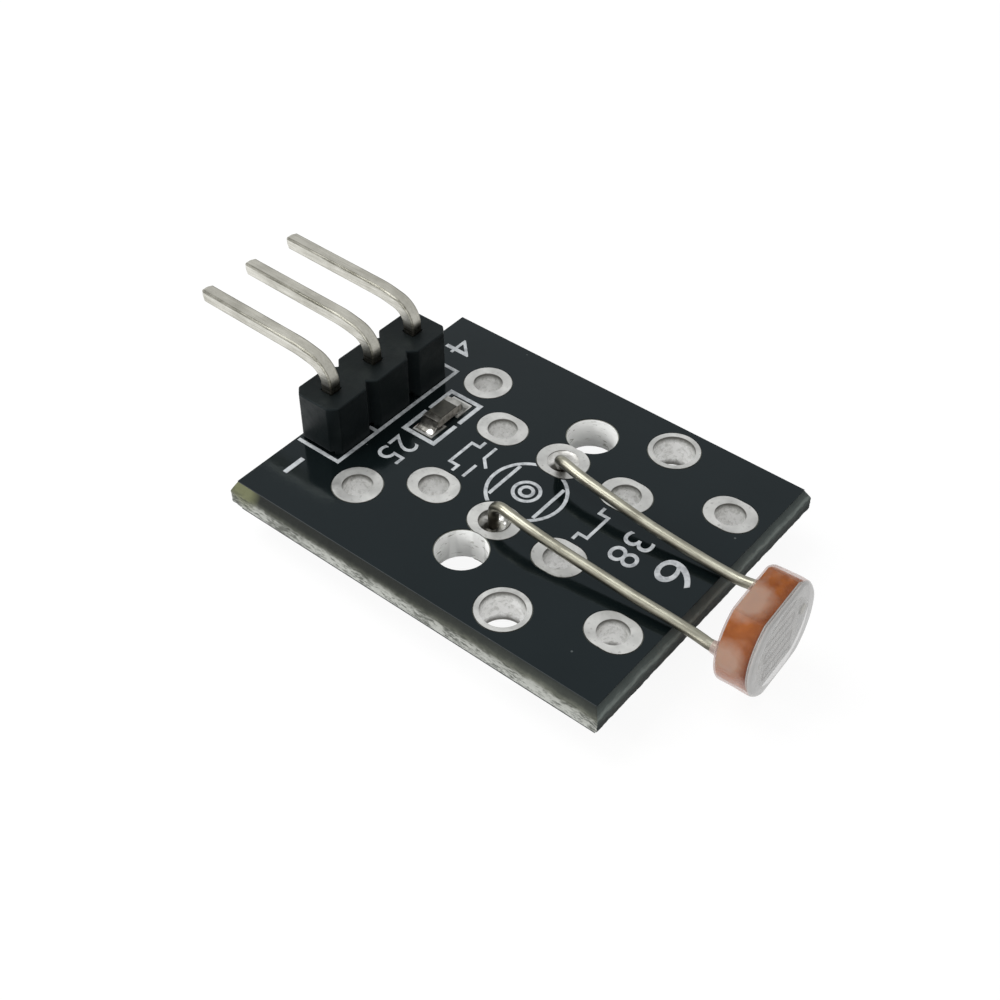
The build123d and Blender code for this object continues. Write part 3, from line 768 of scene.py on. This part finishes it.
def make_sensor_coat():
    """Clear resin round the disc: flat faces, rounded rims and a side with waves of its own."""
    turns = [radians(15 * step) for step in range(7)]
    round_rim = [(COAT_RIM * (1 - sin(turn)), COAT_RIM * (1 - cos(turn))) for turn in turns]
    stops = [(inset, 0.0) for inset in COAT_FACE_INSETS] + round_rim
    stops += [(0.0, level) for level in COAT_SIDE_LEVELS]
    stops += [(inset, SENSOR_THICKNESS - level) for level, inset in round_rim]
    stops += [(inset, SENSOR_THICKNESS) for inset in reversed(COAT_FACE_INSETS)]
    bm = bmesh.new()
    rows = []
    for inset, level in stops:
        row = []
        for point in sensor_outline(inset):
            place = Vector((point.x, point.y, level))
            if inset < min(COAT_FACE_INSETS):
                wave = noise.fractal(place * 0.9, 1.0, 2.0, 2) * COAT_WAVE
                place += Vector((point.x, point.y, 0)).normalized() * wave
            row.append(bm.verts.new((SENSOR_PLACE @ place) * MM))
        rows.append(row)
    join_rings(bm, rows)
    bm.faces.new(rows[0])
    bm.faces.new(rows[-1])
    mesh = mesh_from(bm, "sensor_coat", 60.0)
    resin = clear_coat_shader("clear_resin", 0.04, 0.80)
    add_piece("sensor_coat", mesh, [resin], ["sensor_clear_coat"])


def make_collar(name, side):
    """Resin drawn out along one lead where it leaves the disc."""
    bm = bmesh.new()
    rows = []
    for step in range(COLLAR_STEPS + 1):
        share = step / COLLAR_STEPS
        radius = LEAD_RADIUS + COLLAR_SKIN + COLLAR_FLARE * (1 - share) ** 2.2
        row = []
        for index in range(COLLAR_SIDES):
            angle = 2 * pi * index / COLLAR_SIDES
            wobble = 1 + 0.10 * noise.noise(Vector((cos(angle), sin(angle), share * 2 + side)))
            place = Vector((side * SENSOR_LEAD_OFFSET, 0, COLLAR_SUNK - COLLAR_LENGTH * share))
            place += Vector((cos(angle), sin(angle), 0)) * radius * wobble
            row.append(bm.verts.new((SENSOR_PLACE @ place) * MM))
        rows.append(row)
    join_rings(bm, rows)
    add_piece(name, mesh_from(bm, name), [COLLAR])


# Plain numbers where the board is marked

# How much thinner than the font's own the strokes are, in heights of the font
STROKE_THINNING = 0.004


def make_number(name, text, low, high):
    """Printed number that reads across the board, fitted between two corners on the mask."""
    curve = bpy.data.curves.new(name, "FONT")
    curve.body = text
    curve.extrude = 0.5 * MM
    curve.offset = -STROKE_THINNING
    source = bpy.data.objects.new(name + "_source", curve)
    mesh = evaluated_copy(name, source)
    # The extrusion only parts the upper face from the lower one; their levels are set here
    xs = [vertex.co.x for vertex in mesh.vertices]
    ys = [vertex.co.y for vertex in mesh.vertices]
    for vertex in mesh.vertices:
        across = (vertex.co.x - min(xs)) / (max(xs) - min(xs))
        up = (vertex.co.y - min(ys)) / (max(ys) - min(ys))
        level = BOARD_TOP + (PRINT_HEIGHT if vertex.co.z > 0 else 0.0)
        x = low[0] + (high[0] - low[0]) * up
        y = high[1] + (low[1] - high[1]) * across
        vertex.co = Vector((x, y, level)) * MM
    mesh.materials.clear()
    add_piece(name, mesh, [INK])


# Stage, lights and camera

def make_stage():
    """Pale floor under the lowest pins: white to the camera, and still shaded by the object."""
    low = cad_box[0][2]
    bpy.ops.mesh.primitive_plane_add(size=3.0, location=(0, 0, low))
    floor = bpy.context.object
    floor.name = "floor"
    material = bpy.data.materials.new("floor_white")
    material.use_nodes = True
    nodes = material.node_tree.nodes
    links = material.node_tree.links
    nodes.clear()
    path = nodes.new("ShaderNodeLightPath")
    seen = nodes.new("ShaderNodeMath")
    seen.operation = "MAXIMUM"
    seen_all = nodes.new("ShaderNodeMath")
    seen_all.operation = "MAXIMUM"
    share = nodes.new("ShaderNodeMath")
    share.operation = "MULTIPLY"
    share.inputs[1].default_value = FLOOR_WHITE
    white = nodes.new("ShaderNodeEmission")
    white.inputs["Strength"].default_value = FLOOR_GLOW
    plain = nodes.new("ShaderNodeBsdfDiffuse")
    plain.inputs["Color"].default_value = FLOOR_TONE
    blend = nodes.new("ShaderNodeMixShader")
    output = nodes.new("ShaderNodeOutputMaterial")
    links.new(path.outputs["Is Camera Ray"], seen.inputs[0])
    links.new(path.outputs["Is Glossy Ray"], seen.inputs[1])
    links.new(seen.outputs[0], seen_all.inputs[0])
    links.new(path.outputs["Is Transmission Ray"], seen_all.inputs[1])
    links.new(seen_all.outputs[0], share.inputs[0])
    links.new(share.outputs[0], blend.inputs[0])
    links.new(plain.outputs[0], blend.inputs[1])
    links.new(white.outputs[0], blend.inputs[2])
    links.new(blend.outputs[0], output.inputs["Surface"])
    floor.data.materials.append(material)


def make_world():
    """Even white surround to the camera, a dimmer one in reflections, and a softer one for what is lit."""
    world = bpy.data.worlds.new("studio")
    world.use_nodes = True
    bpy.context.scene.world = world
    nodes = world.node_tree.nodes
    links = world.node_tree.links
    path = nodes.new("ShaderNodeLightPath")
    level = SKY_LIT
    gains = {
        "Is Camera Ray": 1 - SKY_LIT,
        "Is Transmission Ray": 1 - SKY_LIT,
        "Is Glossy Ray": SKY_MIRRORED - SKY_LIT,
    }
    for ray, gain in gains.items():
        step = nodes.new("ShaderNodeMath")
        step.operation = "MULTIPLY_ADD"
        step.inputs[1].default_value = gain
        links.new(path.outputs[ray], step.inputs[0])
        if isinstance(level, float):
            step.inputs[2].default_value = level
        else:
            links.new(level, step.inputs[2])
        level = step.outputs[0]
    links.new(level, nodes["Background"].inputs["Strength"])
    nodes["Background"].inputs["Color"].default_value = (1.0, 1.0, 1.0, 1.0)


def make_lamp(name, place, size, power, target=(-3.0, 0.0, 1.0)):
    """A square soft lamp at a place in millimetres that faces a target."""
    data = bpy.data.lights.new(name, "AREA")
    data.size = size * MM
    data.energy = power
    lamp = bpy.data.objects.new(name, data)
    lamp.location = Vector(place) * MM
    lamp.rotation_euler = (Vector(target) - Vector(place)).to_track_quat("-Z", "Y").to_euler()
    bpy.context.scene.collection.objects.link(lamp)


def make_camera():
    """Camera at the photograph's viewing place."""
    data = bpy.data.cameras.new("camera")
    data.lens = CAMERA_LENS
    data.sensor_width = 36.0
    data.clip_start = MM
    data.clip_end = 10.0
    camera = bpy.data.objects.new("camera", data)
    look = Vector(CAMERA_TARGET) - Vector(CAMERA_PLACE)
    turn = look.to_track_quat("-Z", "Y").to_matrix().to_4x4()
    roll = Matrix.Rotation(radians(CAMERA_ROLL), 4, "Z")
    camera.matrix_world = Matrix.Translation(Vector(CAMERA_PLACE) * MM) @ turn @ roll
    bpy.context.scene.collection.objects.link(camera)
    bpy.context.scene.camera = camera


bpy.context.scene.view_settings.view_transform = "Standard"
make_camera()
make_stage()
make_world()
make_lamp("key_lamp", (-76.0, -17.0, 150.0), size=90.0, power=0.10)
make_lamp("side_lamp", (-90.0, -110.0, 90.0), size=40.0, power=0.05)
make_lamp("front_lamp", (20.0, -150.0, 30.0), size=60.0, power=0.05)

# Pieces

MASK_BLACK = mask_shader()
PAD = pad_shader()
SOLDER = solder_shader("solder", (0.46, 0.455, 0.44), (0.80, 0.80, 0.79), 0.16, 0.34)
POOL_A = solder_shader("solder_pool_a", (0.50, 0.495, 0.47), (0.74, 0.74, 0.72), 0.38, 0.55, POOL_A_PAINTED_SHADE)
POOL_B = solder_shader("solder_pool_b", (0.46, 0.455, 0.42), (0.74, 0.74, 0.72), 0.26, 0.46, POOL_B_PAINTED_SHADE)
CHIP_SOLDER_A = solder_shader("chip_solder_dull", (0.30, 0.30, 0.28), (0.50, 0.50, 0.48), 0.40, 0.55)
# The chip's lower fillet and cap: solder painted dark as a painted reflection of the black housing, with a
# painted glint
CHIP_SOLDER_PAINTED_DARK = solder_shader(
    "chip_solder_painted_reflection", (0.05, 0.048, 0.042), (0.18, 0.175, 0.16), 0.24, 0.34, CHIP_PAINTED_GLINT
)
INK = print_shader()
HOUSING = housing_shader()
# Pins and wires carry painted shade and highlight by the way they face, and painted shade at their feet
PIN = drawn_metal_shader("tinned_pin", NEAR_SIDE, PIN_PAINTED_SHADING, (0.44, 0.43, 0.375), 0.38, PIN_FOOT_SHADE)
# The pins' rounded edges: the same tin painted darker, as painted shade
PIN_EDGE_PAINTED_SHADE = drawn_metal_shader(
    "tinned_pin_edge_painted_shade", NEAR_SIDE, PIN_EDGE_PAINTED_SHADING, (0.15, 0.145, 0.115), 0.45, PIN_FOOT_SHADE
)
WIRE = drawn_metal_shader("tinned_wire", NEAR_UNDERSIDE, WIRE_PAINTED_SHADING, (0.26, 0.25, 0.20), 0.34, WIRE_FOOT_SHADE)
GLAZE = chip_coat_shader()
CERAMIC = chip_ceramic_shader()
COLLAR = clear_coat_shader("clear_resin_collar", 0.45, 0.85)

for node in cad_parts:
    if "solder_mask" in node:
        dress(node, MASK_BLACK)
    if "plated" in node or "rings" in node or node == "resistor_lands":
        dress(node, PAD)
for name in ("lead_a", "lead_b"):
    dress(name, WIRE)
dress("copper_tracks", copper_shader())
dress("printed_outlines", INK)
dress("resistor_film", GLAZE)
dress("sensor_ceramic_disc", sensor_side_shader())
dress("sensor_light_film", sensor_face_shader())
comb = comb_shader()
dress("sensor_electrode_a", comb)
dress("sensor_electrode_b", comb)

make_board()
rounded_copy("moulded_header", "header_housing", 0.07, HOUSING)
for number in (1, 2, 3):
    rounded_copy(f"bent_pin_{number}", f"header_pin_{number}", 0.09, PIN, PIN_EDGE_PAINTED_SHADE)
rounded_copy("chip_body", "resistor_body", 0.03, CERAMIC)
rounded_copy("chip_overcoat", "resistor_overcoat", 0.03, GLAZE)
for name, chip_solder in (("a", CHIP_SOLDER_A), ("b", CHIP_SOLDER_PAINTED_DARK)):
    rounded_copy(f"chip_cap_{name}", f"resistor_cap_{name}", 0.04, chip_solder)
    fillet = f"resistor_solder_{name}"
    lumpy_copy(f"chip_fillet_{name}", fillet, chip_solder, voxel=0.02, lump=0.02, waves=1.2)
    lumpy_copy(f"lead_joint_{name}", f"lead_solder_{name}", SOLDER, voxel=0.03, lump=0.03, waves=2.0)
lumpy_copy("header_joints", "header_solder_joints", SOLDER, voxel=0.03, lump=0.03, waves=2.0)
solder_pool(
    "lead_pool_a", POOL_A, (LEAD_X, LEAD_HALF_SPACING),
    low=PAD_TOP - 0.13, wall_rise=0.10, lead_rise=0.16, lean=0.2, lump=0.02,
)
solder_pool(
    "lead_pool_b", POOL_B, (LEAD_X, -LEAD_HALF_SPACING),
    low=PAD_TOP - 0.46, wall_rise=0.34, lead_rise=0.25, lean=0.5, lump=0.05,
)
make_sensor_coat()
make_collar("sensor_collar_a", 1)
make_collar("sensor_collar_b", -1)
make_number("printed_number_resistor", "25", (-9.71, -2.35), (-8.46, -0.80))
make_number("printed_number_switch", "38", (1.29, -1.05), (2.59, 0.72))
make_number("printed_number_sensor", "6", (3.25, -0.80), (4.85, 0.52))
make_number("printed_number_header", "4", (-12.10, 4.85), (-10.80, 5.90))
